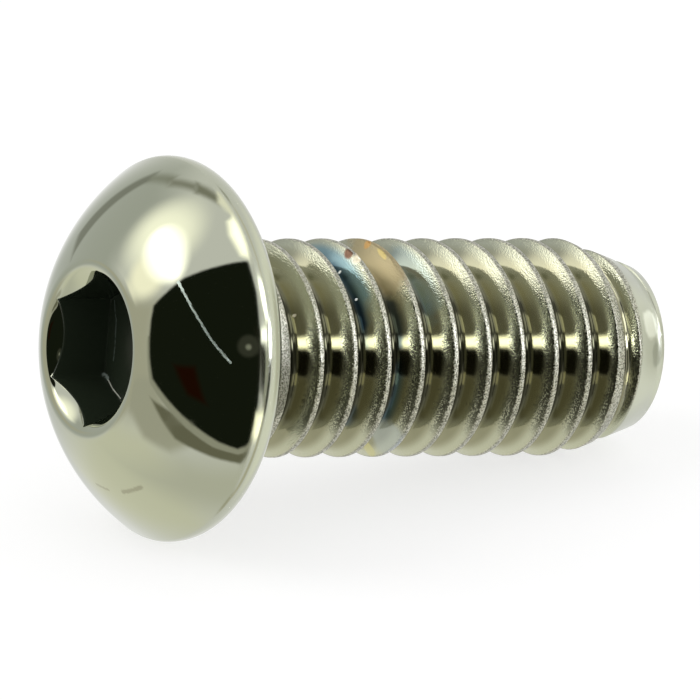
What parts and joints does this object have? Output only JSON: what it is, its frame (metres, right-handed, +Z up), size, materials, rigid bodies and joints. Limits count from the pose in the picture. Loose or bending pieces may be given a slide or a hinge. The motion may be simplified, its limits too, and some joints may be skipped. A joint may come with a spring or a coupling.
{
  "type": "button head screw",
  "caption": "Short button head socket cap screw with a domed polished head, a hexagon socket and a coarse fully threaded shank, lying on its side.",
  "frame": {"origin": "on the table, under the middle of the lying screw: the bottom centre of its box", "axes": "+Z up; +X along the table from the head to the point, under the screw's own axis, which dips towards the point by the angle at which the screw rests; +Y across the screw"},
  "size_m": [0.0232, 0.0136, 0.0134],
  "materials": {
    "polished_steel": "mirror polished head and thread flanks, grainy rolled crests"
  },
  "bodies": {
    "root": {"button_head_screw": "polished_steel"}
  },
  "joints": []
}
